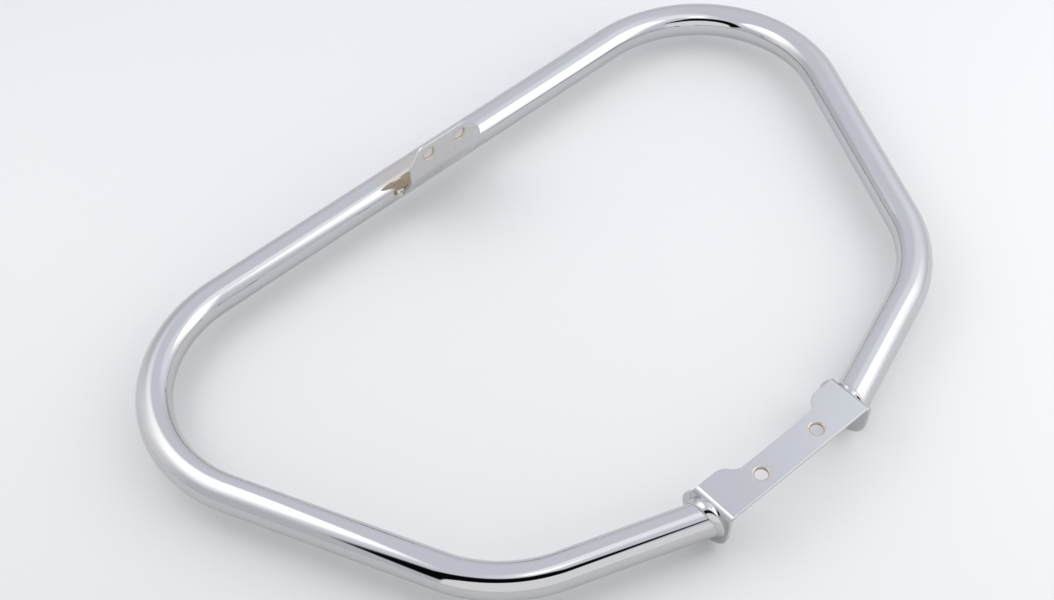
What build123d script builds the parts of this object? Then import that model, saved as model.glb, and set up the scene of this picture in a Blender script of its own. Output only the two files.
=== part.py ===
"""Motorcycle crash bars: a bent tube loop with a folded lower bracket and a bent upper bracket.

The loop lies flat. X runs across the motorcycle, Y from the lower bracket to the top tube, Z up.
All sizes are in millimetres.
"""
import math
import os

from build123d import *

# guard tube: top straight, two sides leaning in, two legs to the lower bracket
tube_diameter = 31.75
tube_wall = 2.4
bend_radius = 127.0
top_half_span = 435.5
side_drop = 403.5
side_angle = 65.0
leg_angle = 20.0

# sheet that both brackets are made of
sheet_thickness = 3.2
bolt_hole_diameter = 11.1
rim_chamfer = 0.6
rim_round = 2.0

# lower bracket: a plate above the tube ends, with a flange bent down at each end
flange_half_span = 81.5
plate_rise = 21.0
fold_radius = 7.8
plate_end_front = 23.3
plate_end_back = 17.5
neck_width = 29.5
step_start = 36.0
step_length = 22.0
lower_hole_spacing = 63.5
lobe_back_shift = 4.4
lobe_drop = 6.0
lobe_radius = 25.3

# upper bracket: a foot leaning out from the tube, then an upright leg with two holes
upper_width = 82.0
foot_angle = 57.0
foot_inset = 13.7
foot_end = 7.5
upright_reach = 40.0
upright_top = 66.5
knee_radius = 14.8
corner_width = 15.0
corner_height = 18.0
corner_round = 9.0
upper_hole_spacing = 36.0
upper_hole_height = 55.0

# welds
lower_bead_size = 4.2
upper_bead_radius = 5.2
upper_bead_taper = 2.6
upper_bead_length = 11.0
upper_bead_overhang = 5.5
upper_bead_rise = 3.4

tube_radius = tube_diameter / 2
flange_inner = flange_half_span - sheet_thickness
fold_outer = fold_radius + sheet_thickness
fold_start = flange_half_span - fold_outer
plate_bottom = plate_rise - sheet_thickness
fold_low = plate_rise - fold_outer
lower_half_span = top_half_span - side_drop / math.tan(math.radians(side_angle))
leg_slope = math.tan(math.radians(leg_angle))


def leg_y(x):
    """Y of the leg's axis at a distance x from the middle."""
    return -side_drop - (lower_half_span - x) * leg_slope


tube_end_y = leg_y(flange_half_span)
plate_front = tube_end_y - plate_end_front
plate_back = tube_end_y + plate_end_back
neck_back = plate_front + neck_width
neck_middle = plate_front + neck_width / 2
lobe_y = tube_end_y + lobe_back_shift
shoulder_back = lobe_y + math.sqrt(lobe_radius ** 2 - (fold_low + lobe_drop) ** 2)


def mirrored(points):
    """The points and their mirror images across X = 0, in one closed order."""
    return points + [(-x, y) for x, y in reversed(points)]


def loop_path(end_x):
    """Axis of the bent tube, its two legs running on to X = end_x and -end_x."""
    right = [(top_half_span, 0), (lower_half_span, -side_drop), (end_x, leg_y(end_x))]
    left = [(-x, y) for x, y in reversed(right)]
    return FilletPolyline(*left, *right, radius=bend_radius)


def swept(path, diameter):
    """A round bar along the path."""
    start = Plane(origin=path @ 0, z_dir=path % 0)
    return sweep(start * Circle(diameter / 2), path=path)


def make_bar(diameter):
    """The loop as a solid bar, cut off square to X at both flanges."""
    bar = swept(loop_path(flange_inner - tube_diameter), diameter)
    between = Box(2 * flange_half_span, 6 * tube_diameter, 4 * tube_diameter)
    return bar - Pos(0, tube_end_y, 0) * between


def make_plan():
    """Plan of the lower plate up to the folds, with the stepped-in neck."""
    half_depth = (plate_back - neck_back) / 2
    middle_x = step_start + step_length / 2
    step_end = step_start + step_length
    step_low = (step_start, neck_back)
    step_middle = (middle_x, neck_back + half_depth)
    step_high = (step_end, plate_back)
    outline = [
        Line((0, plate_front), (fold_start, plate_front)),
        Line((fold_start, plate_front), (fold_start, plate_back)),
        Line((fold_start, plate_back), step_high),
        TangentArc(step_high, step_middle, tangent=(-1, 0)),
        TangentArc(step_low, step_middle, tangent=(1, 0)),
        Line(step_low, (0, neck_back)),
        Line((0, neck_back), (0, plate_front)),
    ]
    half = make_face(Curve() + outline)
    return half + mirror(half, about=Plane.YZ)


def make_flange_outline():
    """Outline of a flange seen along X: a round lobe from the flared fold's back end to a straight front edge."""
    reach = math.hypot(plate_front - lobe_y, fold_low + lobe_drop)
    towards_front = math.atan2(fold_low + lobe_drop, plate_front - lobe_y)
    touch_angle = towards_front + math.acos(lobe_radius / reach)
    touch_y = lobe_y + lobe_radius * math.cos(touch_angle)
    touch_z = lobe_radius * math.sin(touch_angle) - lobe_drop
    front, back = (plate_front, fold_low), (shoulder_back, fold_low)
    lowest = (lobe_y, -lobe_drop - lobe_radius)
    outline = [
        Line(back, front),
        Line(front, (touch_y, touch_z)),
        ThreePointArc((touch_y, touch_z), lowest, back),
    ]
    return make_face(Curve() + outline)


def make_fold():
    """The right-hand fold, its back edge flaring from the plate's end to the wider flange."""
    centre = Pos(fold_start, fold_low)
    ring = centre * (Circle(fold_outer) - Circle(fold_radius))
    quarter = centre * Rectangle(fold_outer, fold_outer, align=(Align.MIN, Align.MIN))
    fold = extrude(Plane.XZ.offset(-shoulder_back) * (ring & quarter), shoulder_back - plate_front)
    flare = (shoulder_back - plate_back) / fold_outer
    room = fold_outer
    behind = Polyline(
        (plate_back - flare * room, plate_rise + room),
        (shoulder_back + flare * room, fold_low - room),
        (shoulder_back + 4 * room, fold_low - room),
        (shoulder_back + 4 * room, plate_rise + room),
        close=True,
    )
    return fold - extrude(Plane.YZ * make_face(behind), 2 * flange_half_span)


def drilled(plate, spacing, place):
    """The plate with two bolt holes, spaced along X about a place on its outer face whose Z is the holes' direction.

    Each hole's rim is rolled in on the outer face and only broken on the inner one.
    """
    drill = Cylinder(bolt_hole_diameter / 2, 6 * sheet_thickness)
    places = [Pos(side_sign * spacing / 2, 0, 0) * place for side_sign in (-1, 1)]
    for hole in places:
        plate -= hole * drill
    for hole in places:
        rims = plate.edges().filter_by(lambda edge: edge.geom_type == GeomType.CIRCLE and edge.is_closed)
        inner = rims.sort_by_distance(hole.position)[1]
        plate = chamfer(inner, rim_chamfer)
        rims = plate.edges().filter_by(lambda edge: edge.geom_type == GeomType.CIRCLE and edge.is_closed)
        outer = rims.sort_by_distance(hole.position)[0]
        plate = fillet(outer, rim_round)
    return plate


def make_lower_bracket():
    """The folded lower bracket: a plate, two folds and two flanges in one sheet."""
    plate = Pos(0, 0, plate_bottom) * extrude(make_plan(), sheet_thickness)
    flange = Plane.YZ.offset(flange_inner) * make_flange_outline()
    side = extrude(flange, sheet_thickness)
    side += make_fold()
    bracket = plate + side + mirror(side, about=Plane.YZ)
    return drilled(bracket, lower_hole_spacing, Pos(0, neck_middle, plate_rise))


def foot_point(inset, along):
    """Point (Y, Z) on the leaning foot: inset from the tube's axis, along the foot upwards."""
    lean = math.radians(foot_angle)
    y = -inset * math.sin(lean) - along * math.cos(lean)
    z = -inset * math.cos(lean) + along * math.sin(lean)
    return y, z


def foot_at_y(inset, y):
    """Point (Y, Z) where the foot's face at this inset reaches a plane of constant Y."""
    lean = math.radians(foot_angle)
    along = (-y - inset * math.sin(lean)) / math.cos(lean)
    return foot_point(inset, along)


def make_upper_profile():
    """Cross-section of the bent upper plate, seen along X."""
    outer_inset = foot_inset + sheet_thickness
    outer_knee = foot_at_y(outer_inset, -upright_reach)
    inner_knee = foot_at_y(foot_inset, sheet_thickness - upright_reach)
    outline = Polyline(
        (-upright_reach, upright_top),
        outer_knee,
        foot_point(outer_inset, foot_end),
        foot_point(foot_inset, foot_end),
        inner_knee,
        (sheet_thickness - upright_reach, upright_top),
        close=True,
    )
    profile = make_face(outline)
    outer_corner = profile.vertices().sort_by_distance((*outer_knee, 0))[0]
    profile = fillet(outer_corner, knee_radius + sheet_thickness)
    inner_corner = profile.vertices().sort_by_distance((*inner_knee, 0))[0]
    return fillet(inner_corner, knee_radius)


def make_upper_front():
    """Outline of the upper plate seen along Y, with its cut and rounded top corners."""
    half = upper_width / 2
    cut_low = (half, upright_top - corner_height)
    cut_high = (half - corner_width, upright_top)
    outline = Polyline(*mirrored([(half, -tube_diameter), cut_low, cut_high]), close=True)
    front = make_face(outline)
    corners = front.vertices().filter_by_position(Axis.Y, 0, upright_top)
    return fillet(corners, corner_round)


def make_upper_bracket(bar):
    """The bent upper bracket, its foot cut to the tube that it stands on."""
    profile = Plane.YZ.offset(-upper_width / 2) * make_upper_profile()
    plate = extrude(profile, upper_width)
    front = extrude(Plane.XZ * make_upper_front(), 2 * upright_reach)
    plate = plate & front
    plate = drilled(plate, upper_hole_spacing, Pos(0, -upright_reach, upper_hole_height) * Rot(90, 0, 0))
    return plate - bar


def bead_section(out, rise):
    """Outline of the right-hand lower bead, out from the flange and rising that far off the tube."""
    x = flange_half_span + out
    along_y = tube_radius / math.cos(math.radians(leg_angle))
    return Plane.YZ.offset(x) * Pos(leg_y(x), 0) * Ellipse(along_y + rise, tube_radius + rise)


def make_lower_weld(bar, bracket):
    """Convex weld bead all round the right-hand tube end, on the flange's outer face."""
    foot = bead_section(-0.6 * fold_outer, lower_bead_size)
    shoulder = bead_section(0.6 * lower_bead_size, 0.7 * lower_bead_size)
    tip = bead_section(lower_bead_size, 0.1 * lower_bead_size)
    bead = loft([foot, shoulder, tip], ruled=True)
    room = 4 * tube_diameter
    below_fold = Box(room, room, room, align=(Align.MAX, Align.CENTER, Align.MAX))
    bead -= Pos(flange_half_span, tube_end_y, fold_low) * below_fold
    bead -= Pos(fold_start, tube_end_y, fold_low) * Rot(90, 0, 0) * Cylinder(fold_outer, room)
    return bead - bar - bracket


def make_upper_weld(bar, bracket):
    """Weld bead at the right-hand end of the upper bracket's foot, wrapped round its corner."""
    seam_y = -tube_radius - sheet_thickness / 3
    middle_x = upper_width / 2 + upper_bead_overhang - upper_bead_length / 2
    bead = Cylinder(upper_bead_radius, upper_bead_length)
    bead = Rot(0, 90, 0) * chamfer(bead.edges().filter_by(GeomType.CIRCLE), upper_bead_taper)
    return Pos(middle_x, seam_y, upper_bead_rise) * bead - bar - bracket


bar = make_bar(tube_diameter)
guard_tube = bar - make_bar(tube_diameter - 2 * tube_wall)
lower_bracket = make_lower_bracket()
upper_bracket = make_upper_bracket(bar)
lower_weld_right = make_lower_weld(bar, lower_bracket)
upper_weld_right = make_upper_weld(bar, upper_bracket)

nodes = {
    "guard_tube": guard_tube,
    "lower_bracket": lower_bracket,
    "upper_bracket": upper_bracket,
    "lower_weld_left": mirror(lower_weld_right, about=Plane.YZ),
    "lower_weld_right": lower_weld_right,
    "upper_weld_left": mirror(upper_weld_right, about=Plane.YZ),
    "upper_weld_right": upper_weld_right,
}

# the row's origin is the middle of the bottom of the whole object's box
low_y = min(shape.bounding_box().min.Y for shape in nodes.values())
high_y = max(shape.bounding_box().max.Y for shape in nodes.values())
low_z = min(shape.bounding_box().min.Z for shape in nodes.values())
to_origin = Pos(0, -(low_y + high_y) / 2, -low_z)

os.makedirs("parts", exist_ok=True)
for name, shape in nodes.items():
    export_step(to_origin * shape, f"parts/{name}.step")
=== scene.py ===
"""Chrome-plated motorcycle crash bars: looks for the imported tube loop, its two brackets and their welds.

Every piece is modelled in metres in the frame's own axes: X across the motorcycle, Y from the lower
bracket to the top tube, Z up.
"""
import math

import bmesh
import bpy
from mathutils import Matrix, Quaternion, Vector

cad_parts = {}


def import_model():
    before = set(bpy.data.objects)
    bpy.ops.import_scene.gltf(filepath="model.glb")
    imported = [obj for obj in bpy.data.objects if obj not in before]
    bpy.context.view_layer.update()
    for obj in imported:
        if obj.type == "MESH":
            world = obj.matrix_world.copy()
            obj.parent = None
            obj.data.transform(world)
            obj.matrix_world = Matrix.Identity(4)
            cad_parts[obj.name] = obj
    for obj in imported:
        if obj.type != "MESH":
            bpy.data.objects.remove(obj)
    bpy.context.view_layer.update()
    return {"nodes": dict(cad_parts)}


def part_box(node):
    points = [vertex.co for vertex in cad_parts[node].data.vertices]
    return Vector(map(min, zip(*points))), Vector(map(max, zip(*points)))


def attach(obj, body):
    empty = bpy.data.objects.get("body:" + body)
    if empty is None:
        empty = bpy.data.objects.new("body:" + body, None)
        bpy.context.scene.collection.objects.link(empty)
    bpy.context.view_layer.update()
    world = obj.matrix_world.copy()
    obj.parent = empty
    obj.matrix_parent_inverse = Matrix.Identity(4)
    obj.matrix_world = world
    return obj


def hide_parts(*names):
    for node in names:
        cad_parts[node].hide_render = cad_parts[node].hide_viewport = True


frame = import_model()

# Boxes of the frame's nodes
tube_low, tube_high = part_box("guard_tube")
lower_low, lower_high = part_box("lower_bracket")
upper_low, upper_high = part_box("upper_bracket")
bead_low, bead_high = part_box("upper_weld_right")

# Guard tube
tube_radius = (tube_high.z - tube_low.z) / 2
tube_z = (tube_high.z + tube_low.z) / 2
bend_radius = 0.127
side_angle = math.radians(65)
leg_angle = math.radians(20)
tube_sides = 112
tube_crease = math.radians(30)
bend_step = math.radians(1.25)
bend_margin = 0.001

# Sheet of both brackets
sheet = 0.0032
lower_ease = 0.0006
upper_ease = 0.001
hole_radius = 0.00555
rim_round = 0.002
rim_steps = 8
hole_sides = 72
ease_steps = 3
eased_angle = math.radians(50)
sheet_crease = math.radians(35)

# Lower bracket
fold_inner = 0.005
fold_outer = fold_inner + sheet
fold_steps = 20
neck_width = 0.0295
step_start = 0.036
step_length = 0.022
step_steps = 16
lower_hole_x = 0.03175
lobe_back_shift = 0.0044
lobe_height = tube_z - 0.006
lobe_radius = 0.0253
lobe_steps = 72
plate_depth = 0.0408

# Upper bracket
foot_angle = math.radians(57)
foot_inset = 0.0169
foot_end = 0.0075
knee_outer = 0.018
knee_steps = 18
corner_width = 0.015
corner_height = 0.018
corner_round = 0.0037
corner_steps = 10
corner_margin = 0.0005
upper_hole_x = 0.018
upper_hole_drop = 0.0115
back_facing = 0.3

# Lower weld: rings drawn out along the leg, each as its way out from the flange, its rise off the tube
# and its share of the bead's lean, by which the bead runs out further over the tube's top
bead_sides = 144
bead_rings = (
    (-0.0012, 0.0012, 0),
    (0.0002, 0.0022, 0),
    (0.0011, 0.0026, 0.15),
    (0.0021, 0.0024, 0.3),
    (0.0031, 0.0017, 0.5),
    (0.0039, 0.0009, 0.75),
    (0.0045, 0.0001, 0.9),
    (0.0047, -0.0008, 1),
)
bead_lift = 0.0006
left_bead_lean = 10.0
left_bead_reach = 1.0
right_bead_lean = 1.5
right_bead_reach = 0.75
bead_crease = math.radians(60)
lower_lump_size = 0.012
lower_lump_depth = 0.0004

# Upper weld: its depth and height as shares of its node's box, and its drooping outer end
upper_bead_depth = 0.9
upper_bead_height = 0.85
upper_end_share = 0.35
upper_end_droop = 0.05
upper_lump_size = 0.0035
upper_lump_depth = 0.0015

# Distances below which points are merged or picked as one place
merge_gap = 0.00001
pick_gap = 0.0001
ring_gap = 0.000002

# Studio
tent_radius = 1.2
tent_centre = Vector((0, 0, 0.13))
floor_z = -0.0002
table_size = 60
table_tone = (0.82, 0.82, 0.815)
table_roughness = 0.7
outside_tone = (1.1, 1.11, 1.14)

# Tent's tones
lamp_tone = (2.0, 2.0, 2.0)
wall_tone = (0.88, 0.905, 0.99)
low_wall_tone = (0.78, 0.79, 0.855)
dim_corner_tone = (0.70, 0.71, 0.75)
low_glow_tone = (0.93, 0.94, 0.98)
right_wall_tone = (1.10, 1.14, 1.21)
overhead_tone = (1.29, 1.31, 1.36)
screen_tone = (1.06, 1.06, 1.08)
arch_tone = (0.004, 0.004, 0.005)

# Places on the tent in degrees: azimuths from the front towards +X, elevations over the tent's centre.
# A pair is a fade, from where a panel begins to where it is full. A side fade counts from the panel's
# azimuth to both sides. A rise or fall is in degrees of elevation for each degree of azimuth, the lean in
# degrees of azimuth for each degree of elevation, and the bow in degrees for each square degree.
low_wall_top = (34.0, 2.0)
dim_corner_azimuth = -125.0
dim_corner_side = (75.0, 45.0)
dim_corner_top = (36.0, 14.0)
low_glow_azimuth = -136.0
low_glow_side = (32.0, 10.0)
low_glow_top = (28.0, 12.0)
right_wall_azimuth = 85.0
right_wall_side = (45.0, 12.0)
right_wall_foot = (-14.0, 34.0)
right_wall_top = (68.0, 54.0)
overhead_azimuth = 10.0
overhead_side = (108.0, 40.0)
overhead_foot = (56.0, 70.0)

back_lamp_azimuth = -135.0
back_lamp_side = (48.0, 28.0)
back_lamp_foot = (-1.0, 50.0)
back_lamp_foot_rise = 0.5
back_lamp_top = (66.0, 61.5)
back_lamp_bow = 12.0 / 45.0 ** 2

front_lamp_lean = 0.35
front_lamp_left = (19.0, 44.0)
front_lamp_right = (105.0, 62.0)
front_lamp_foot = (-22.0, 23.0)
front_lamp_foot_from = 45.0
front_lamp_foot_rise = 0.9
front_lamp_top = (68.0, 54.0)
front_lamp_top_from = 56.0
front_lamp_top_fall = 1.1

top_lamp_azimuth = -28.0
top_lamp_side = (26.0, 10.0)
top_lamp_foot = (62.0, 69.0)
top_lamp_top = (78.0, 72.0)

# Rounded arches on the tent: middle azimuth, half width, height over the foot, roundness and softness
arch_foot = 8.0
screen_arch = (-40.0, 34.4, 27.8, 2.5, 0.025)
dark_arch = (-43.0, 44.7, 49.5, 3.2, 0.05)
arch_right_from = -27.0
arch_right_fall = 1.0
arch_right_top = (64.0, 57.0)
arch_left_from = -79.0
arch_left_rise = 1.5
arch_left_foot = (4.0, 9.0)
arch_end_foot = (28.0, 35.0)
arch_end_side = (-22.0, -32.0)

# Plating tones
chrome_tone = (0.58, 0.58, 0.59)
back_tone = (0.64, 0.57, 0.45)
nickel_tone = (0.60, 0.50, 0.36)
bare_tone = (0.30, 0.21, 0.11)

# Plating wear: noise scales per metre and the noise values over which patches and smudges show
patch_detail = 3.0
patch_fade = (0.42, 0.72)
smudge_scale = 55.0
smudge_detail = 5.0
smudge_fade = (0.25, 0.8)
smudge_share = 0.6
clean_share = 0.5
worn_dulling = 0.06
ripple_scale = 60.0
ripple_detail = 1.0

# Wear at the bolt holes, with fades in hole radii, and on the tube beside the upper bracket
halo_fade = (1.55, 1.3)
hole_wall_fade = (1.05, 1.01)
halo_wear = 0.42
halo_dulling = 0.3
lower_hole_brown = 0.7
upper_hole_brown = 0.3
shelter_fade = (0.022, 0.002)
shelter_wear = 0.36

# Photograph's camera
camera_azimuth = math.radians(-36.83)
camera_elevation = math.radians(50.22)
camera_roll = math.radians(-5.29)
camera_target = Vector((-0.0392, 0.0407, tube_z))
camera_distance = 1.5519
camera_lens = 60.18
camera_sensor = 36.0

# Places worked out from the frame
top_y = tube_high.y - tube_radius
bend_x = tube_high.x - bend_radius - tube_radius
flange_x = lower_high.x
tube_end_y = tube_low.y + tube_radius / math.cos(leg_angle)
plate_top = lower_high.z
plate_front = lower_low.y
plate_back = plate_front + plate_depth
fold_x = flange_x - fold_outer
fold_z = plate_top - fold_outer
lobe_y = tube_end_y + lobe_back_shift
shoulder_back = lobe_y + math.sqrt(lobe_radius ** 2 - (fold_z - lobe_height) ** 2)
lower_hole_y = plate_front + neck_width / 2
upper_front = upper_low.y
upper_hole_z = upper_high.z - upper_hole_drop


def begin_edit():
    bpy.ops.object.mode_set(mode="EDIT")
    bpy.ops.mesh.select_mode(type="VERT")
    bpy.ops.mesh.select_all(action="SELECT")


def end_edit():
    bpy.ops.object.mode_set(mode="OBJECT")


def name_piece(name):
    """Names the primitive just added and puts its place into its mesh."""
    piece = bpy.context.object
    piece.name = name
    piece.data.name = name
    bpy.ops.object.transform_apply(location=True, rotation=True, scale=True)
    return piece


def select_parts(kind, test):
    """In edit mode, selects only the verts, edges or faces whose middle passes the test."""
    bpy.ops.mesh.select_all(action="DESELECT")
    bpy.ops.mesh.select_mode(type={"verts": "VERT", "edges": "EDGE", "faces": "FACE"}[kind])
    mesh = bmesh.from_edit_mesh(bpy.context.object.data)
    for part in getattr(mesh, kind):
        if kind == "verts":
            middle = part.co
        else:
            middle = sum((vert.co for vert in part.verts), Vector()) / len(part.verts)
        if test(middle):
            part.select_set(True)
    mesh.select_flush_mode()
    bmesh.update_edit_mesh(bpy.context.object.data)


def extrude(move):
    bpy.ops.mesh.extrude_region_move(TRANSFORM_OT_translate={"value": move})


def spin(centre, axis, angle, steps):
    """Spins the selection anticlockwise about an axis that points at the viewer."""
    bpy.ops.mesh.spin(steps=steps, angle=-angle, center=centre, axis=axis)


def apply_modifier(piece, kind, **settings):
    modifier = piece.modifiers.new(kind.title(), kind)
    for name, value in settings.items():
        setattr(modifier, name, value)
    bpy.context.view_layer.objects.active = piece
    bpy.ops.object.modifier_apply(modifier=modifier.name)


def face_outwards():
    begin_edit()
    bpy.ops.mesh.remove_doubles(threshold=merge_gap)
    bpy.ops.mesh.normals_make_consistent(inside=False)
    end_edit()


def select_only(piece):
    bpy.ops.object.select_all(action="DESELECT")
    piece.select_set(True)
    bpy.context.view_layer.objects.active = piece


def drill(piece, places, turn):
    """Cuts a round bolt hole at each place."""
    for place in places:
        bpy.ops.object.select_all(action="DESELECT")
        bpy.ops.mesh.primitive_cylinder_add(
            vertices=hole_sides, radius=hole_radius, depth=8 * sheet, location=place, rotation=turn)
        cutter = name_piece("drill")
        select_only(piece)
        apply_modifier(piece, "BOOLEAN", operation="DIFFERENCE", object=cutter, solver="EXACT")
        bpy.data.objects.remove(cutter)


def roll_rims(on_rim):
    """Rounds the outer rims of the bolt holes, whose edges pass the test."""
    begin_edit()
    select_parts("edges", on_rim)
    bpy.ops.mesh.bevel(offset_type="OFFSET", offset=rim_round, segments=rim_steps, affect="EDGES")
    end_edit()


def finish_sheet(piece, ease):
    """Eases the sheet's cut edges and keeps its flats flat under the polish."""
    select_only(piece)
    apply_modifier(piece, "BEVEL", width=ease, segments=ease_steps, limit_method="ANGLE",
                   angle_limit=eased_angle, harden_normals=True)
    bpy.ops.object.shade_smooth_by_angle(angle=sheet_crease)
    apply_modifier(piece, "WEIGHTED_NORMAL", keep_sharp=True, weight=100)


def model_guard_tube():
    """Bends half of the loop, from the middle of the top tube to the lower flange, and mirrors it."""
    bpy.ops.object.select_all(action="DESELECT")
    bpy.ops.mesh.primitive_circle_add(
        vertices=tube_sides, radius=tube_radius, location=(0, top_y, tube_z),
        rotation=(0, math.pi / 2, 0))
    tube = name_piece("polished_tube")

    top_turn = math.pi - side_angle
    low_turn = side_angle - leg_angle
    down_side = Vector((-math.cos(side_angle), -math.sin(side_angle), 0))
    down_leg = Vector((-math.cos(leg_angle), -math.sin(leg_angle), 0))
    inwards = Vector((-math.sin(side_angle), math.cos(side_angle), 0))

    top_centre = Vector((bend_x, top_y - bend_radius, tube_z))
    side_start = top_centre - inwards * bend_radius
    leg_end = Vector((flange_x, tube_end_y, tube_z))
    corner_y = top_y
    corner_x = bend_x + bend_radius * math.tan(top_turn / 2)
    across = (leg_end.x - corner_x) * down_leg.y - (leg_end.y - corner_y) * down_leg.x
    side_length = across / (down_side.x * down_leg.y - down_side.y * down_leg.x)
    low_trim = bend_radius * math.tan(low_turn / 2)
    low_corner = Vector((corner_x, corner_y, tube_z)) + down_side * side_length
    low_start = low_corner - down_side * low_trim
    low_centre = low_start + inwards * bend_radius
    leg_start = low_corner + down_leg * low_trim

    begin_edit()
    extrude((bend_x, 0, 0))
    spin(top_centre, (0, 0, -1), top_turn, round(top_turn / bend_step))
    extrude(low_start - side_start)
    spin(low_centre, (0, 0, -1), low_turn, round(low_turn / bend_step))
    extrude(leg_end + down_leg * tube_radius - leg_start)
    select_parts("faces", lambda middle: middle.x < leg_start.x - bend_margin and middle.y < 0)
    bpy.ops.mesh.bisect(plane_co=leg_end, plane_no=(1, 0, 0), use_fill=True, clear_inner=True)
    end_edit()

    apply_modifier(tube, "MIRROR", use_axis=(True, False, False), merge_threshold=merge_gap)
    face_outwards()
    bpy.ops.object.shade_smooth_by_angle(angle=tube_crease)
    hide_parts("guard_tube")
    return tube


def draw_point(name, place):
    """Starts an outline as a single point: a small plane merged to its middle."""
    bpy.ops.object.select_all(action="DESELECT")
    bpy.ops.mesh.primitive_plane_add(size=sheet, location=place)
    piece = name_piece(name)
    begin_edit()
    bpy.ops.mesh.merge(type="CENTER")
    return piece


def model_lower_bracket():
    """Draws half of the plate's plan, folds its end down, adds the lobed flange and mirrors it."""
    neck_back = plate_front + neck_width
    step_depth = (plate_back - neck_back) / 2
    step_radius = ((step_length / 2) ** 2 + step_depth ** 2) / (2 * step_depth)
    step_turn = 2 * math.atan(step_depth / (step_length / 2))
    step_end = step_start + step_length

    bracket = draw_point("folded_lower_bracket", (0, neck_back, plate_top))
    extrude((step_start, 0, 0))
    spin((step_start, neck_back + step_radius, plate_top), (0, 0, 1), step_turn, step_steps)
    spin((step_end, plate_back - step_radius, plate_top), (0, 0, -1), step_turn, step_steps)
    extrude((fold_x - step_end, 0, 0))
    extrude((0, plate_front - plate_back, 0))
    extrude((-fold_x, 0, 0))
    bpy.ops.mesh.select_all(action="SELECT")
    bpy.ops.mesh.remove_doubles(threshold=merge_gap)
    bpy.ops.mesh.edge_face_add()

    select_parts("edges", lambda middle: abs(middle.x - fold_x) < pick_gap)
    spin((fold_x, 0, fold_z), (0, 1, 0), math.pi / 2, fold_steps)
    flare = (shoulder_back - plate_back) / fold_outer
    for step in range(1, fold_steps + 1):
        height = fold_z + fold_outer * math.cos(math.pi / 2 * step / fold_steps)
        select_parts("verts", lambda place: (
            abs(place.z - height) < pick_gap / 2 and place.y > plate_back - pick_gap))
        bpy.ops.transform.translate(value=(0, flare * (plate_top - height), 0))

    reach = math.hypot(plate_front - lobe_y, fold_z - lobe_height)
    towards_front = math.atan2(fold_z - lobe_height, plate_front - lobe_y)
    touch_angle = towards_front + math.acos(lobe_radius / reach)
    back_angle = math.atan2(fold_z - lobe_height, shoulder_back - lobe_y) + 2 * math.pi
    touch_y = lobe_y + lobe_radius * math.cos(touch_angle)
    touch_z = lobe_height + lobe_radius * math.sin(touch_angle)
    front = Vector((flange_x, plate_front, fold_z))
    select_parts("verts", lambda place: (place - front).length < pick_gap)
    extrude(Vector((flange_x, touch_y, touch_z)) - front)
    spin((flange_x, lobe_y, lobe_height), (1, 0, 0), back_angle - touch_angle, lobe_steps)
    bpy.ops.mesh.select_all(action="SELECT")
    bpy.ops.mesh.remove_doubles(threshold=merge_gap)
    select_parts("edges", lambda middle: middle.x > flange_x - pick_gap)
    bpy.ops.mesh.edge_face_add()
    end_edit()

    apply_modifier(bracket, "MIRROR", use_axis=(True, False, False), merge_threshold=merge_gap)
    face_upwards(bracket)
    apply_modifier(bracket, "SOLIDIFY", thickness=sheet, offset=-1, use_even_offset=True)
    drill(bracket, [(side * lower_hole_x, lower_hole_y, plate_top) for side in (-1, 1)], (0, 0, 0))

    def on_rim(middle):
        from_hole = math.hypot(abs(middle.x) - lower_hole_x, middle.y - lower_hole_y)
        return abs(middle.z - plate_top) < pick_gap and from_hole < hole_radius + pick_gap

    roll_rims(on_rim)
    finish_sheet(bracket, lower_ease)
    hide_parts("lower_bracket")
    return bracket


def face_upwards(piece):
    """Turns an open sheet's faces so that its plate looks up and its flanges look outwards."""
    begin_edit()
    bpy.ops.mesh.normals_make_consistent(inside=False)
    end_edit()
    plate = max(piece.data.polygons, key=lambda polygon: polygon.area * abs(polygon.normal.z))
    if plate.normal.z < 0:
        begin_edit()
        bpy.ops.mesh.flip_normals()
        end_edit()


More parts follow.
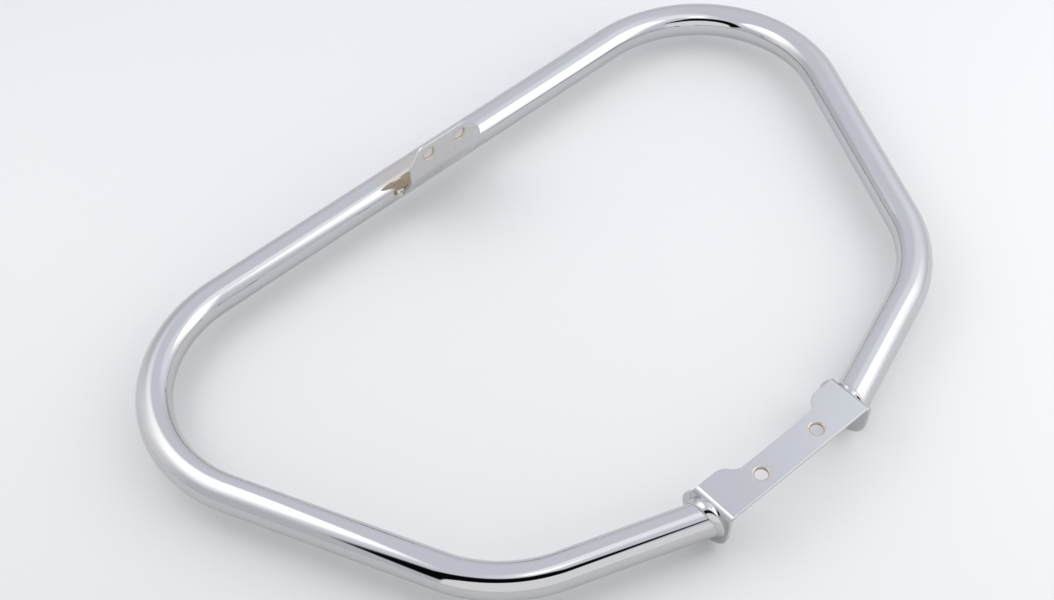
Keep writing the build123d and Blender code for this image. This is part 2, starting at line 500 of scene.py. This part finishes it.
def model_upper_bracket():
    """Cuts the upright's corners, bends the sheet at the knee and runs the foot down to the tube."""
    towards_tube = Vector((0, math.cos(foot_angle), -math.sin(foot_angle)))
    knee_turn = math.pi / 2 - foot_angle
    axis_point = Vector((0, top_y, tube_z))
    inset = Vector((0, -math.sin(foot_angle), -math.cos(foot_angle))) * foot_inset
    foot_tip = axis_point + inset - towards_tube * foot_end
    knee_run = (foot_tip.y - upper_front) / towards_tube.y
    corner_z = foot_tip.z - towards_tube.z * knee_run
    knee_trim = knee_outer * math.tan(knee_turn / 2)
    knee_top = corner_z + knee_trim
    foot_start = Vector((0, upper_front, corner_z)) + towards_tube * knee_trim

    height = upper_high.z - knee_top
    bpy.ops.object.select_all(action="DESELECT")
    bpy.ops.mesh.primitive_plane_add(
        size=1, location=(0, upper_front, knee_top + height / 2), rotation=(math.pi / 2, 0, 0))
    bpy.context.object.scale = (upper_high.x - upper_low.x, height, 1)
    bracket = name_piece("bent_upper_bracket")

    begin_edit()
    for side in (-1, 1):
        bpy.ops.mesh.select_all(action="SELECT")
        cut = (side * upper_high.x, upper_front, upper_high.z - corner_height)
        bpy.ops.mesh.bisect(
            plane_co=cut, plane_no=(side * corner_height, 0, corner_width), clear_outer=True)
    corners_above = upper_high.z - corner_height - corner_margin
    select_parts("verts", lambda place: place.z > corners_above)
    bpy.ops.mesh.bevel(affect="VERTICES", offset=corner_round, offset_type="OFFSET", segments=corner_steps)
    select_parts("edges", lambda middle: middle.z < knee_top + pick_gap)
    spin((0, upper_front + knee_outer, knee_top), (1, 0, 0), knee_turn, knee_steps)
    extrude(foot_tip - foot_start)
    end_edit()

    apply_modifier(bracket, "SOLIDIFY", thickness=sheet, offset=-1, use_even_offset=True)
    places = [(side * upper_hole_x, upper_front, upper_hole_z) for side in (-1, 1)]
    drill(bracket, places, (math.pi / 2, 0, 0))

    def on_rim(middle):
        from_hole = math.hypot(abs(middle.x) - upper_hole_x, middle.z - upper_hole_z)
        return abs(middle.y - upper_front) < pick_gap and from_hole < hole_radius + pick_gap

    roll_rims(on_rim)
    finish_sheet(bracket, upper_ease)
    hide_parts("upper_bracket")
    return bracket


def roughen(piece, size, depth):
    """Gives weld metal its uneven surface: soft lumps of a size, as deep as given."""
    lumps = bpy.data.textures.new("weld_lumps", "CLOUDS")
    lumps.noise_scale = size
    select_only(piece)
    apply_modifier(piece, "DISPLACE", texture=lumps, texture_coords="LOCAL", strength=depth,
                   mid_level=0.5)
    bpy.data.textures.remove(lumps)
    bpy.ops.object.shade_smooth()


def close_ring():
    """Closes an open ring of metal by a wall between its two rims."""
    begin_edit()
    bpy.ops.mesh.select_all(action="DESELECT")
    bpy.ops.mesh.select_non_manifold()
    bpy.ops.mesh.bridge_edge_loops()
    end_edit()
    face_outwards()


def model_lower_weld(name, reach, full_lean):
    """A convex bead round the tube's end, its inner rim sunk in the flange and in the fold above it."""
    slope = math.tan(leg_angle)
    half_wide = tube_radius / math.cos(leg_angle)

    def ring_centre(out):
        return Vector((flange_x + out, tube_end_y + out * slope, tube_z + bead_lift))

    out, rise, lean = bead_rings[0]
    bpy.ops.object.select_all(action="DESELECT")
    bpy.ops.mesh.primitive_circle_add(
        vertices=bead_sides, radius=tube_radius + rise + bead_lift, location=ring_centre(out),
        rotation=(0, math.pi / 2, 0))
    bpy.context.object.scale = (1, (half_wide + rise) / (tube_radius + rise + bead_lift), 1)
    weld = name_piece(name)

    begin_edit()
    for ring_out, next_rise, lean_share in bead_rings[1:]:
        next_out = reach * ring_out
        next_lean = lean_share * full_lean
        extrude(ring_centre(next_out) - ring_centre(out))
        wider = (half_wide + next_rise) / (half_wide + rise)
        taller = (tube_radius + next_rise) / (tube_radius + rise)
        bpy.ops.transform.resize(value=(1, wider, taller), center_override=ring_centre(next_out))
        bpy.ops.transform.rotate(
            value=math.radians(lean - next_lean), orient_axis="Y", center_override=ring_centre(next_out))
        out, rise, lean = next_out, next_rise, next_lean

    rim_x = flange_x + bead_rings[0][0]
    rim_radius = tube_radius + bead_rings[0][1] + bead_lift
    sunk_radius = fold_outer - sheet / 4
    for step in range(bead_sides // 4 + 1):
        height = tube_z + bead_lift + rim_radius * math.sin(2 * math.pi * step / bead_sides)
        above = height - fold_z
        if 0 < above < sunk_radius:
            select_parts("verts", lambda place: (
                abs(place.z - height) < ring_gap and place.x < rim_x + ring_gap))
            sunk_x = fold_x + math.sqrt(sunk_radius ** 2 - above ** 2)
            bpy.ops.transform.translate(value=(min(0, sunk_x - rim_x), 0, 0))
    end_edit()

    face_outwards()
    apply_modifier(weld, "SUBSURF", levels=1, render_levels=1)
    close_ring()
    roughen(weld, lower_lump_size, lower_lump_depth)
    bpy.ops.object.shade_smooth_by_angle(angle=bead_crease)
    return weld


def model_upper_weld():
    """A small lumpy bead in the corner between the end of the upper bracket's foot and the tube."""
    size = bead_high - bead_low
    bpy.ops.object.select_all(action="DESELECT")
    bpy.ops.mesh.primitive_uv_sphere_add(
        segments=64, ring_count=40, radius=0.5, location=(bead_low + bead_high) / 2)
    bpy.context.object.scale = (size.x, upper_bead_depth * size.y, upper_bead_height * size.z)
    weld = name_piece("upper_weld_bead_right")
    begin_edit()
    outer_end = bead_high.x - upper_end_share * size.x
    select_parts("verts", lambda place: place.x > outer_end)
    bpy.ops.transform.translate(value=(0, 0, -upper_end_droop * size.z))
    end_edit()
    apply_modifier(weld, "SMOOTH", factor=0.5, iterations=4)
    roughen(weld, upper_lump_size, upper_lump_depth)
    return weld


def turn_to_left(piece):
    """Mirrors a right-hand piece to the left."""
    select_only(piece)
    piece.scale = (-1, 1, 1)
    bpy.ops.object.transform_apply(location=False, rotation=False, scale=True)
    begin_edit()
    bpy.ops.mesh.normals_make_consistent(inside=False)
    end_edit()


def left_copy(piece, name):
    """A left-hand copy of a right-hand piece, with its own mesh."""
    select_only(piece)
    bpy.ops.object.duplicate()
    copy = bpy.context.object
    copy.name = name
    copy.data.name = name
    turn_to_left(copy)
    return copy


def math_node(tree, operation, *values):
    """A Math node on links or numbers, and its output."""
    node = tree.nodes.new("ShaderNodeMath")
    node.operation = operation
    for socket, value in zip(node.inputs, values):
        if isinstance(value, bpy.types.NodeSocket):
            tree.links.new(value, socket)
        else:
            socket.default_value = value
    return node.outputs[0]


def soft_step(tree, value, start, end):
    """0 before start and 1 after end, with a smooth change between; start may be the larger."""
    node = tree.nodes.new("ShaderNodeMapRange")
    node.interpolation_type = "SMOOTHSTEP"
    tree.links.new(value, node.inputs["Value"])
    node.inputs["From Min"].default_value = start
    node.inputs["From Max"].default_value = end
    return node.outputs["Result"]


def lay_over(tree, under, colour, mask):
    """Lays one colour over another where the mask is 1; each is a link or a plain colour."""
    node = tree.nodes.new("ShaderNodeMix")
    node.data_type = "RGBA"
    # A Mix node has sockets for every data type: 0 is the factor, and 6, 7 and output 2 are colours
    tree.links.new(mask, node.inputs[0])
    for socket, value in ((node.inputs[6], under), (node.inputs[7], colour)):
        if isinstance(value, bpy.types.NodeSocket):
            tree.links.new(value, socket)
        else:
            socket.default_value = (*value, 1)
    return node.outputs[2]


def noise(tree, place, scale, detail):
    """A Noise Texture's grey value on Object coordinates."""
    node = tree.nodes.new("ShaderNodeTexNoise")
    node.inputs["Detail"].default_value = detail
    tree.links.new(place, node.inputs["Vector"])
    if isinstance(scale, bpy.types.NodeSocket):
        tree.links.new(scale, node.inputs["Scale"])
    else:
        node.inputs["Scale"].default_value = scale
    return node.outputs["Fac"]


def object_place(tree):
    return tree.nodes.new("ShaderNodeTexCoord").outputs["Object"]


def new_group(name, inputs, outputs):
    """An empty shader node group with its sockets: each input as its name, kind and value."""
    group = bpy.data.node_groups.new(name, "ShaderNodeTree")
    for socket_name, kind, value in inputs:
        socket = group.interface.new_socket(socket_name, in_out="INPUT", socket_type=kind)
        socket.default_value = value
    for socket_name, kind in outputs:
        group.interface.new_socket(socket_name, in_out="OUTPUT", socket_type=kind)
    return group, group.nodes.new("NodeGroupInput").outputs, group.nodes.new("NodeGroupOutput").inputs


def make_plating_group():
    """Shared effect: chrome that thins to nickel in soft patches and where worn, with smudged gloss."""
    group, given, result = new_group(
        "plating_wear",
        (("Chrome", "NodeSocketColor", (*chrome_tone, 1)),
         ("Nickel", "NodeSocketColor", (*nickel_tone, 1)),
         ("Thin", "NodeSocketFloat", 0.1),
         ("Worn", "NodeSocketFloat", 0.0),
         ("Gloss Loss", "NodeSocketFloat", 0.05),
         ("Patch Scale", "NodeSocketFloat", 18.0)),
        (("Colour", "NodeSocketColor"), ("Roughness", "NodeSocketFloat"), ("Height", "NodeSocketFloat")))
    place = object_place(group)
    patches = soft_step(group, noise(group, place, given["Patch Scale"], patch_detail), *patch_fade)
    thin = math_node(group, "MULTIPLY", patches, given["Thin"])
    thin = math_node(group, "MAXIMUM", thin, given["Worn"])
    group.links.new(lay_over(group, given["Chrome"], given["Nickel"], thin), result["Colour"])

    smudges = soft_step(group, noise(group, place, smudge_scale, smudge_detail), *smudge_fade)
    uneven = math_node(group, "MULTIPLY_ADD", smudges, smudge_share, clean_share)
    rough = math_node(group, "MULTIPLY", uneven, given["Gloss Loss"])
    rough = math_node(group, "MULTIPLY_ADD", given["Worn"], worn_dulling, rough)
    group.links.new(rough, result["Roughness"])
    group.links.new(noise(group, place, ripple_scale, ripple_detail), result["Height"])
    return group


def make_hole_group():
    """Shared effect: masks of the worn ring round a pair of bolt holes and of the holes' bare walls."""
    group, given, result = new_group(
        "bolt_hole_wear",
        (("Across", "NodeSocketFloat", 0.0), ("Along", "NodeSocketFloat", 0.0),
         ("Hole Across", "NodeSocketFloat", 0.0), ("Hole Along", "NodeSocketFloat", 0.0)),
        (("Halo", "NodeSocketFloat"), ("Wall", "NodeSocketFloat")))
    across = math_node(group, "ABSOLUTE", given["Across"])
    across = math_node(group, "SUBTRACT", across, given["Hole Across"])
    along = math_node(group, "SUBTRACT", given["Along"], given["Hole Along"])
    square = math_node(group, "MULTIPLY_ADD", along, along, math_node(group, "MULTIPLY", across, across))
    reach = math_node(group, "DIVIDE", math_node(group, "SQRT", square), hole_radius)
    group.links.new(soft_step(group, reach, *halo_fade), result["Halo"])
    group.links.new(soft_step(group, reach, *hole_wall_fade), result["Wall"])
    return group


def new_finish(name, bump, **values):
    """A chrome material with the plating group on its shader, its tree and the group's node."""
    material = bpy.data.materials.new(name)
    material.use_nodes = True
    tree = material.node_tree
    shader = tree.nodes["Principled BSDF"]
    shader.inputs["Metallic"].default_value = 1.0
    plating = tree.nodes.new("ShaderNodeGroup")
    plating.node_tree = plating_group
    for socket_name, value in values.items():
        plating.inputs[socket_name.replace("_", " ")].default_value = value
    height = tree.nodes.new("ShaderNodeBump")
    height.inputs["Strength"].default_value = 1.0
    height.inputs["Distance"].default_value = bump
    tree.links.new(plating.outputs["Height"], height.inputs["Height"])
    tree.links.new(plating.outputs["Colour"], shader.inputs["Base Color"])
    tree.links.new(plating.outputs["Roughness"], shader.inputs["Roughness"])
    tree.links.new(height.outputs["Normal"], shader.inputs["Normal"])
    return material, tree, plating


def wear_holes(tree, plating, along_axis, hole_across, hole_along, brown):
    """Wears the plating thin and dull round two bolt holes and leaves their walls brown."""
    split = tree.nodes.new("ShaderNodeSeparateXYZ")
    tree.links.new(object_place(tree), split.inputs[0])
    holes = tree.nodes.new("ShaderNodeGroup")
    holes.node_tree = hole_group
    tree.links.new(split.outputs["X"], holes.inputs["Across"])
    tree.links.new(split.outputs[along_axis], holes.inputs["Along"])
    holes.inputs["Hole Across"].default_value = hole_across
    holes.inputs["Hole Along"].default_value = hole_along
    tree.links.new(math_node(tree, "MULTIPLY", holes.outputs["Halo"], halo_wear), plating.inputs["Worn"])
    shader = tree.nodes["Principled BSDF"]
    bare = math_node(tree, "MULTIPLY", holes.outputs["Wall"], brown)
    colour = lay_over(tree, plating.outputs["Colour"], bare_tone, bare)
    tree.links.new(colour, shader.inputs["Base Color"])
    dull = math_node(
        tree, "MULTIPLY_ADD", holes.outputs["Halo"], halo_dulling, plating.outputs["Roughness"])
    tree.links.new(dull, shader.inputs["Roughness"])


def make_tube_chrome():
    """Clear chrome, thinner where the upper bracket sheltered the tube from the plating bath."""
    material, tree, plating = new_finish("polished_tube_chrome", bump=0.00002, Thin=0.05, Gloss_Loss=0.04)
    split = tree.nodes.new("ShaderNodeSeparateXYZ")
    tree.links.new(object_place(tree), split.inputs[0])
    x, y, z = split.outputs
    from_middle = math_node(tree, "ABSOLUTE", x)
    shelter_start, shelter_full = shelter_fade
    sheltered = soft_step(tree, from_middle, upper_high.x + shelter_start, upper_high.x + shelter_full)
    facing = soft_step(tree, y, top_y + 0.7 * tube_radius, top_y - 0.1 * tube_radius)
    above = soft_step(tree, z, tube_z - 0.2 * tube_radius, tube_z + 0.3 * tube_radius)
    mask = math_node(tree, "MULTIPLY", sheltered, math_node(tree, "MULTIPLY", facing, above))
    tree.links.new(math_node(tree, "MULTIPLY", mask, shelter_wear), plating.inputs["Worn"])
    return material


def make_lower_bracket_chrome():
    material, tree, plating = new_finish("lower_bracket_chrome", bump=0.00003, Thin=0.08, Gloss_Loss=0.1)
    wear_holes(tree, plating, "Y", lower_hole_x, lower_hole_y, lower_hole_brown)
    return material


def make_upper_bracket_chrome():
    material, tree, plating = new_finish("upper_bracket_chrome", bump=0.00004, Thin=0.12, Gloss_Loss=0.3)
    wear_holes(tree, plating, "Z", upper_hole_x, upper_hole_z, upper_hole_brown)
    return material


def make_bracket_back_nickel():
    """The sheltered back of the upper bracket, where hardly any chrome settled over the nickel."""
    material, _, _ = new_finish(
        "bracket_back_nickel", bump=0.00005, Chrome=(*back_tone, 1), Nickel=(*bare_tone, 1),
        Thin=0.3, Gloss_Loss=0.22, Patch_Scale=40.0)
    return material


def make_lower_weld_chrome():
    material, _, _ = new_finish(
        "lower_weld_chrome", bump=0.00006, Thin=0.25, Gloss_Loss=0.1, Patch_Scale=60.0)
    return material


def make_upper_weld_chrome():
    material, _, _ = new_finish(
        "upper_weld_chrome", bump=0.0001, Thin=1.0, Gloss_Loss=0.16, Patch_Scale=120.0)
    return material


def make_tent():
    """A pale studio tent with lilac walls, which only mirrors and the table see.

    It has a lamp panel at the front right, one at the back left and one overhead, and round the camera
    a dark arch with a grey screen in it.
    """
    bpy.ops.object.select_all(action="DESELECT")
    bpy.ops.mesh.primitive_uv_sphere_add(
        segments=96, ring_count=48, radius=tent_radius, location=tent_centre)
    tent = name_piece("studio_tent")
    begin_edit()
    bpy.ops.mesh.bisect(plane_co=(0, 0, floor_z), plane_no=(0, 0, 1), clear_inner=True)
    end_edit()
    bpy.ops.object.shade_smooth()
    tent.visible_camera = False
    material = bpy.data.materials.new("tent_cloth_and_lamps")
    material.use_nodes = True
    material.cycles.emission_sampling = "NONE"
    tree = material.node_tree
    tree.nodes.remove(tree.nodes["Principled BSDF"])
    glow = tree.nodes.new("ShaderNodeEmission")
    tree.links.new(glow.outputs[0], tree.nodes["Material Output"].inputs["Surface"])

    from_middle = tree.nodes.new("ShaderNodeVectorMath")
    from_middle.operation = "SUBTRACT"
    tree.links.new(object_place(tree), from_middle.inputs[0])
    from_middle.inputs[1].default_value = tent_centre
    direction = tree.nodes.new("ShaderNodeVectorMath")
    direction.operation = "NORMALIZE"
    tree.links.new(from_middle.outputs[0], direction.inputs[0])
    split = tree.nodes.new("ShaderNodeSeparateXYZ")
    tree.links.new(direction.outputs[0], split.inputs[0])
    x, y, z = split.outputs
    degrees = 180 / math.pi
    turn = math_node(tree, "ARCTAN2", x, math_node(tree, "MULTIPLY", y, -1.0))
    azimuth = math_node(tree, "MULTIPLY", turn, degrees)
    elevation = math_node(tree, "MULTIPLY", math_node(tree, "ARCSINE", z), degrees)

    def times(*masks):
        product = masks[0]
        for mask in masks[1:]:
            product = math_node(tree, "MULTIPLY", product, mask)
        return product

    def beside(centre):
        """How far a direction lies to the side of a centre, in degrees."""
        turned = math_node(tree, "SUBTRACT", azimuth, centre)
        return math_node(tree, "ABSOLUTE", math_node(tree, "WRAP", turned, 180.0, -180.0))

    def past(limit):
        """How far the azimuth lies past a limit, and 0 before it."""
        return math_node(tree, "MAXIMUM", math_node(tree, "SUBTRACT", azimuth, limit), 0.0)

    def before(limit):
        """How far the azimuth lies before a limit, and 0 past it."""
        return math_node(tree, "MAXIMUM", math_node(tree, "SUBTRACT", limit, azimuth), 0.0)

    def lifted(amount, factor):
        """The elevation, raised by a factor for each degree of an amount."""
        return math_node(tree, "MULTIPLY_ADD", amount, factor, elevation)

    def inside_arch(middle, half_width, full_height, power, soft):
        """1 inside a rounded arch on the tent, and 0 outside it."""
        side = math_node(tree, "DIVIDE", beside(middle), half_width)
        up = math_node(tree, "DIVIDE", math_node(tree, "SUBTRACT", elevation, arch_foot), full_height)
        up = math_node(tree, "MAXIMUM", up, 0.0)
        side_power = math_node(tree, "POWER", side, power)
        up_power = math_node(tree, "POWER", up, power)
        total = math_node(tree, "ADD", side_power, up_power)
        return soft_step(tree, math_node(tree, "POWER", total, 1 / power), 1 + soft, 1 - soft)

    colour = lay_over(tree, wall_tone, low_wall_tone, soft_step(tree, elevation, *low_wall_top))
    dim_corner = times(
        soft_step(tree, beside(dim_corner_azimuth), *dim_corner_side),
        soft_step(tree, elevation, *dim_corner_top))
    colour = lay_over(tree, colour, dim_corner_tone, dim_corner)
    low_glow = times(
        soft_step(tree, beside(low_glow_azimuth), *low_glow_side),
        soft_step(tree, elevation, *low_glow_top))
    colour = lay_over(tree, colour, low_glow_tone, low_glow)
    right_wall = times(
        soft_step(tree, beside(right_wall_azimuth), *right_wall_side),
        soft_step(tree, elevation, *right_wall_foot),
        soft_step(tree, elevation, *right_wall_top))
    colour = lay_over(tree, colour, right_wall_tone, right_wall)
    overhead = times(
        soft_step(tree, beside(overhead_azimuth), *overhead_side),
        soft_step(tree, elevation, *overhead_foot))
    colour = lay_over(tree, colour, overhead_tone, overhead)

    from_back = beside(back_lamp_azimuth)
    bow = math_node(tree, "MULTIPLY", math_node(tree, "MULTIPLY", from_back, from_back), back_lamp_bow)
    back_lamp = times(
        soft_step(tree, from_back, *back_lamp_side),
        soft_step(tree, lifted(from_back, -back_lamp_foot_rise), *back_lamp_foot),
        soft_step(tree, math_node(tree, "ADD", elevation, bow), *back_lamp_top))
    colour = lay_over(tree, colour, lamp_tone, back_lamp)

    leaning = math_node(tree, "MULTIPLY_ADD", elevation, front_lamp_lean, azimuth)
    front_lamp = times(
        soft_step(tree, leaning, *front_lamp_left),
        soft_step(tree, azimuth, *front_lamp_right),
        soft_step(tree, lifted(past(front_lamp_foot_from), -front_lamp_foot_rise), *front_lamp_foot),
        soft_step(tree, lifted(past(front_lamp_top_from), front_lamp_top_fall), *front_lamp_top))
    colour = lay_over(tree, colour, lamp_tone, front_lamp)
    top_lamp = times(
        soft_step(tree, beside(top_lamp_azimuth), *top_lamp_side),
        soft_step(tree, elevation, *top_lamp_foot),
        soft_step(tree, elevation, *top_lamp_top))
    colour = lay_over(tree, colour, lamp_tone, top_lamp)

    screen = inside_arch(*screen_arch)
    colour = lay_over(tree, colour, screen_tone, screen)
    above_end = soft_step(tree, elevation, *arch_end_foot)
    before_end = soft_step(tree, azimuth, *arch_end_side)
    arch = times(
        math_node(tree, "SUBTRACT", 1.0, screen),
        inside_arch(*dark_arch),
        soft_step(tree, lifted(past(arch_right_from), arch_right_fall), *arch_right_top),
        soft_step(tree, lifted(before(arch_left_from), -arch_left_rise), *arch_left_foot),
        math_node(tree, "MAXIMUM", above_end, before_end))
    colour = lay_over(tree, colour, arch_tone, arch)
    tree.links.new(colour, glow.inputs["Color"])
    tent.data.materials.append(material)


def make_world():
    """Plain pale surroundings outside the tent, which only the camera and the far floor see."""
    world = bpy.data.worlds.new("pale_surroundings")
    bpy.context.scene.world = world
    world.use_nodes = True
    world.node_tree.nodes["Background"].inputs["Color"].default_value = (*outside_tone, 1)


def make_floor():
    """A plain pale table top."""
    bpy.ops.object.select_all(action="DESELECT")
    bpy.ops.mesh.primitive_plane_add(size=table_size, location=(0, 0, floor_z))
    floor = name_piece("table_top")
    material = bpy.data.materials.new("pale_table")
    material.use_nodes = True
    shader = material.node_tree.nodes["Principled BSDF"]
    shader.inputs["Base Color"].default_value = (*table_tone, 1)
    shader.inputs["Roughness"].default_value = table_roughness
    shader.inputs["Specular IOR Level"].default_value = 0.0
    floor.data.materials.append(material)


def make_camera():
    data = bpy.data.cameras.new("photo_camera")
    camera = bpy.data.objects.new("photo_camera", data)
    bpy.context.scene.collection.objects.link(camera)
    back = Vector((math.sin(camera_azimuth) * math.cos(camera_elevation),
                   -math.cos(camera_azimuth) * math.cos(camera_elevation),
                   math.sin(camera_elevation)))
    camera.location = camera_target + back * camera_distance
    camera.rotation_mode = "QUATERNION"
    level = (-back).to_track_quat("-Z", "Y")
    camera.rotation_quaternion = level @ Quaternion((0, 0, 1), camera_roll)
    data.sensor_width = camera_sensor
    data.lens = camera_lens
    bpy.context.scene.camera = camera


tube = model_guard_tube()
lower_bracket = model_lower_bracket()
upper_bracket = model_upper_bracket()
lower_welds = [
    model_lower_weld("lower_weld_bead_right", right_bead_reach, right_bead_lean),
    model_lower_weld("lower_weld_bead_left", left_bead_reach, left_bead_lean),
]
turn_to_left(lower_welds[1])
upper_welds = [model_upper_weld()]
upper_welds.append(left_copy(upper_welds[0], "upper_weld_bead_left"))
for welds, node in ((lower_welds, "lower_weld"), (upper_welds, "upper_weld")):
    for weld, side in zip(welds, ("right", "left")):
        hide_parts(f"{node}_{side}")

plating_group = make_plating_group()
hole_group = make_hole_group()
tube_chrome = make_tube_chrome()
lower_bracket_chrome = make_lower_bracket_chrome()
upper_bracket_chrome = make_upper_bracket_chrome()
bracket_back_nickel = make_bracket_back_nickel()
lower_weld_chrome = make_lower_weld_chrome()
upper_weld_chrome = make_upper_weld_chrome()
finishes = [
    (tube, "chrome", [tube_chrome]),
    (lower_bracket, "chrome", [lower_bracket_chrome]),
    (upper_bracket, "chrome", [upper_bracket_chrome, bracket_back_nickel]),
]
finishes += [(weld, "plated_weld", [lower_weld_chrome]) for weld in lower_welds]
finishes += [(weld, "plated_weld", [upper_weld_chrome]) for weld in upper_welds]
for piece, slot, materials in finishes:
    piece.data.materials.clear()
    for material in materials:
        piece.data.materials.append(material)
    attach(piece, "root")
for face in upper_bracket.data.polygons:
    face.material_index = 1 if face.normal.y > back_facing else 0

node_finish = {
    "guard_tube": tube_chrome,
    "lower_bracket": lower_bracket_chrome,
    "upper_bracket": upper_bracket_chrome,
    "lower_weld_left": lower_weld_chrome,
    "lower_weld_right": lower_weld_chrome,
    "upper_weld_left": upper_weld_chrome,
    "upper_weld_right": upper_weld_chrome,
}
for name, node in frame["nodes"].items():
    node.data.materials.clear()
    node.data.materials.append(node_finish[name])

make_tent()
make_world()
make_floor()
make_camera()
bpy.context.scene.view_settings.view_transform = "Standard"
